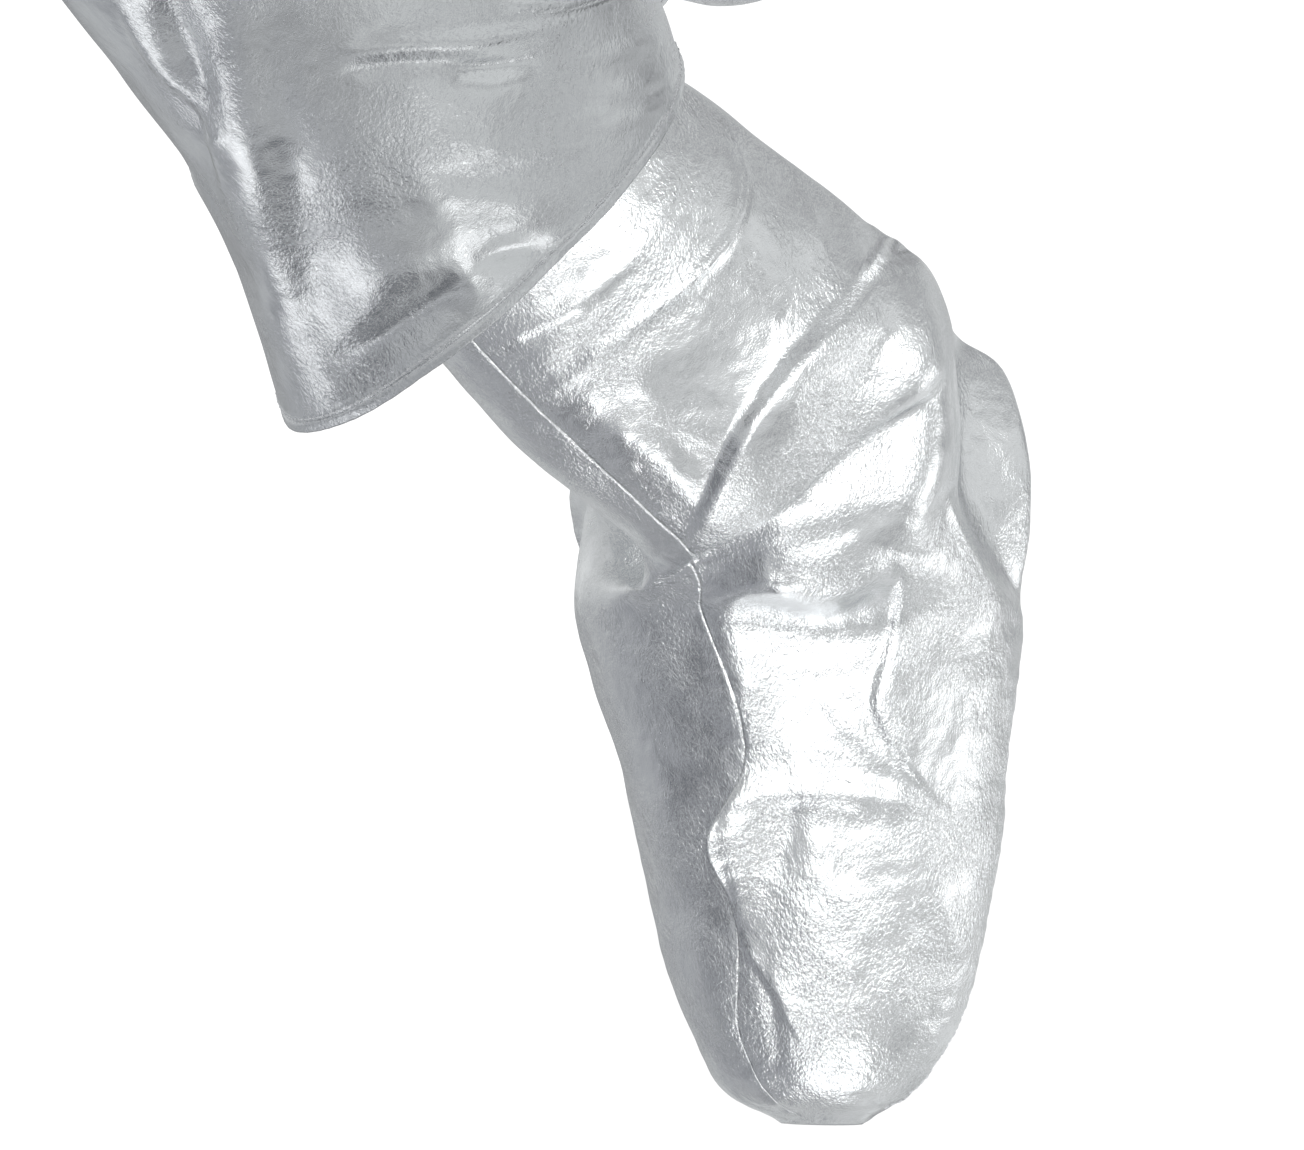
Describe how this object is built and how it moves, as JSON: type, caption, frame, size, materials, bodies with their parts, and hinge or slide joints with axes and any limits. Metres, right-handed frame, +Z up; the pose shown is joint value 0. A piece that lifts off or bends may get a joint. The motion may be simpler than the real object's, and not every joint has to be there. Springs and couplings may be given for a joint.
{
  "type": "astronaut costume",
  "caption": "Silver space-suit costume, a hollow jumpsuit with flared trouser legs and separate boot covers, held in a running leap as if worn.",
  "frame": {"origin": "middle of the neck opening's base, where the wearer's neck comes out of the suit", "axes": "+Z up, -Y towards the viewer, +X to the viewer's right. The body faces 22 degrees to its own right of -Y and leans 6 degrees forward"},
  "size_m": [1.0931, 1.234, 1.4844],
  "materials": {
    "suit_cloth": "finely crinkled silver foil-coated cloth, metallic, satin",
    "boot_cloth": "finely crinkled silver foil-coated cloth, metallic, brighter than the suit"
  },
  "bodies": {
    "root": {"bodice_front_left": "suit_cloth", "bodice_front_right": "suit_cloth", "bodice_back_left": "suit_cloth", "bodice_back_right": "suit_cloth", "leg_left": "suit_cloth", "leg_right": "suit_cloth", "sleeve_left": "suit_cloth", "sleeve_right": "suit_cloth", "collar": "suit_cloth", "placket": "suit_cloth", "boot_left_outer": "boot_cloth", "boot_left_inner": "boot_cloth", "boot_right_outer": "boot_cloth", "boot_right_inner": "boot_cloth"}
  },
  "joints": []
}
